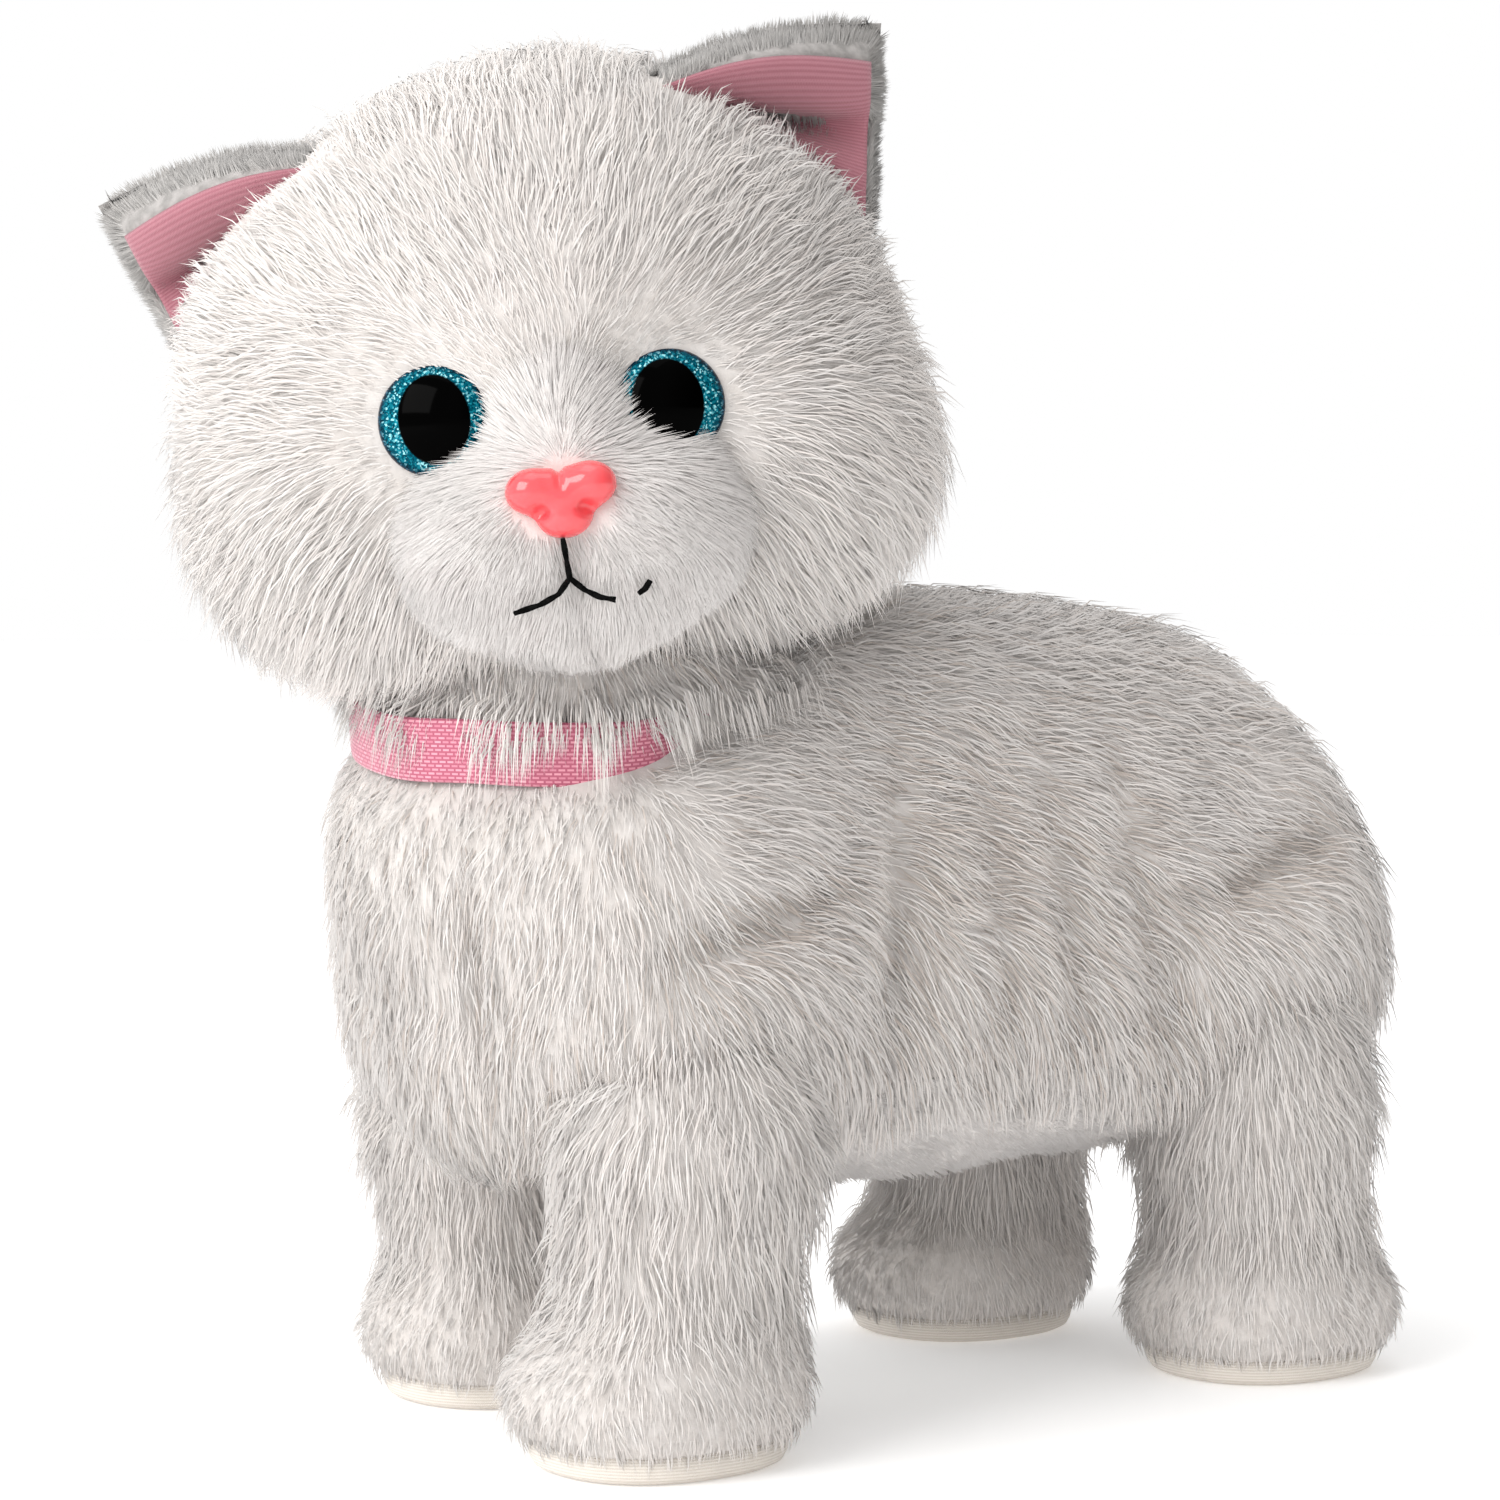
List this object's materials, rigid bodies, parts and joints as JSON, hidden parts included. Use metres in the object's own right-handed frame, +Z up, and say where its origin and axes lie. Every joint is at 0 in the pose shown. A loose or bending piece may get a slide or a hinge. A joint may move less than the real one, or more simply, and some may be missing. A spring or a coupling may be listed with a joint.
{
  "type": "interactive plush pet",
  "caption": "Walking plush kitten: geared crank drive in a hard shell, coupled swinging legs, turning head, wagging tail, belly battery door and switch, long white pile.",
  "frame": {"origin": "on the floor under the middle of the whole toy, at the bottom centre of its box", "axes": "+Z up, the kitten faces -Y, its own left side is +X"},
  "size_m": [0.1082, 0.228, 0.2166],
  "materials": {
    "long_pile_plush": "long silky white pile",
    "short_pile_plush": "short white pile",
    "grey_plush": "short grey pile",
    "pink_knit": "fine pink knit",
    "pink_webbing": "woven pink webbing",
    "sole_knit": "ribbed cream knit",
    "fibre_fill": "loose polyester fibre",
    "shell_plastic": "moulded off-white plastic",
    "black_plastic": "moulded black plastic",
    "gear_plastic": "natural acetal",
    "steel": "plated steel",
    "circuit_board": "green solder mask",
    "battery_can": "plain printed can",
    "eye_plastic": "glitter iris under a clear dome, black pupil",
    "nose_plastic": "glossy coral pink"
  },
  "bodies": {
    "body": {"torso_skin": "long_pile_plush", "belly_panel": "short_pile_plush", "collar_band": "pink_webbing", "body_shell_left": "shell_plastic", "body_shell_right": "shell_plastic", "shell_screw_1": "steel", "shell_screw_2": "steel", "shell_screw_3": "steel", "shell_screw_4": "steel", "battery_box": "black_plastic", "battery_cell_1": "battery_can", "battery_cell_2": "battery_can", "battery_cell_3": "battery_can", "switch_housing": "black_plastic", "motor": "steel", "gearbox_plate": "black_plastic", "circuit_board": "circuit_board", "speaker": "black_plastic", "front_axle": "steel", "rear_axle": "steel", "neck_socket": "shell_plastic"},
    "battery_door": {"battery_door": "shell_plastic", "door_screw": "steel"},
    "switch": {"switch_slider": "black_plastic"},
    "crank": {"crankshaft": "steel", "crank_gear": "gear_plastic", "crank_disc_left": "gear_plastic", "crank_disc_right": "gear_plastic"},
    "step_gear": {"step_gear": "gear_plastic"},
    "motor_pinion": {"motor_pinion": "gear_plastic"},
    "head": {"neck_post": "shell_plastic", "head_plush": "long_pile_plush", "head_fill": "fibre_fill", "muzzle_plush": "short_pile_plush", "nose": "nose_plastic", "nose_washer": "black_plastic", "eye_left": "eye_plastic", "eye_right": "eye_plastic", "eye_washer_left": "black_plastic", "eye_washer_right": "black_plastic", "ear_back_left": "grey_plush", "ear_lining_left": "pink_knit", "ear_back_right": "grey_plush", "ear_lining_right": "pink_knit"},
    "tail": {"tail_core": "gear_plastic", "tail_plush": "long_pile_plush"},
    "front_left_leg": {"front_left_leg_core": "gear_plastic", "front_left_leg_plush": "long_pile_plush", "front_left_sole": "sole_knit"},
    "front_right_leg": {"front_right_leg_core": "gear_plastic", "front_right_leg_plush": "long_pile_plush", "front_right_sole": "sole_knit"},
    "rear_left_leg": {"rear_left_leg_core": "gear_plastic", "rear_left_leg_plush": "long_pile_plush", "rear_left_sole": "sole_knit"},
    "rear_right_leg": {"rear_right_leg_core": "gear_plastic", "rear_right_leg_plush": "long_pile_plush", "rear_right_sole": "sole_knit"}
  },
  "joints": [
    {"name": "front_left_leg_swing", "type": "hinge", "parent": "body", "child": "front_left_leg", "pos_m": [-0.00144, -0.05057, 0.079], "axis": [1, 0, 0], "range_deg": [-3, 15]},
    {"name": "front_right_leg_swing", "type": "hinge", "parent": "body", "child": "front_right_leg", "pos_m": [-0.00144, -0.05057, 0.079], "axis": [1, 0, 0], "range_deg": [-15, 3]},
    {"name": "rear_left_leg_swing", "type": "hinge", "parent": "body", "child": "rear_left_leg", "pos_m": [-0.00144, 0.06343, 0.079], "axis": [1, 0, 0], "range_deg": [-15, 3]},
    {"name": "rear_right_leg_swing", "type": "hinge", "parent": "body", "child": "rear_right_leg", "pos_m": [-0.00144, 0.06343, 0.079], "axis": [1, 0, 0], "range_deg": [-3, 15]},
    {"name": "head_turn", "type": "hinge", "parent": "body", "child": "head", "pos_m": [-0.00144, -0.05557, 0.12], "axis": [0, 0, 1], "range_deg": [-109, 6]},
    {"name": "tail_wag", "type": "hinge", "parent": "body", "child": "tail", "pos_m": [-0.00144, 0.09043, 0.102], "axis": [0, 1, 0], "range_deg": [-14, 14]},
    {"name": "crankshaft_spin", "type": "hinge", "parent": "body", "child": "crank", "pos_m": [-0.00144, 0.00643, 0.079], "axis": [1, 0, 0], "continuous": true},
    {"name": "step_gear_spin", "type": "hinge", "parent": "body", "child": "step_gear", "pos_m": [-0.00144, 0.02643, 0.079], "axis": [1, 0, 0], "continuous": true},
    {"name": "motor_spin", "type": "hinge", "parent": "body", "child": "motor_pinion", "pos_m": [-0.00144, 0.04243, 0.079], "axis": [1, 0, 0], "continuous": true},
    {"name": "battery_door_swing", "type": "hinge", "parent": "body", "child": "battery_door", "pos_m": [-0.00144, 0.02943, 0.0455], "axis": [1, 0, 0], "range_deg": [0, 95]},
    {"name": "switch_slide", "type": "slide", "parent": "body", "child": "switch", "axis": [1, 0, 0], "range_m": [0, 0.004]}
  ],
  "couplings": [
    {"joint": "front_right_leg_swing", "follows": "front_left_leg_swing", "ratio": -1},
    {"joint": "rear_left_leg_swing", "follows": "front_left_leg_swing", "ratio": -1},
    {"joint": "rear_right_leg_swing", "follows": "front_left_leg_swing", "ratio": 1},
    {"joint": "step_gear_spin", "follows": "crankshaft_spin", "ratio": -4},
    {"joint": "motor_spin", "follows": "crankshaft_spin", "ratio": 12}
  ]
}
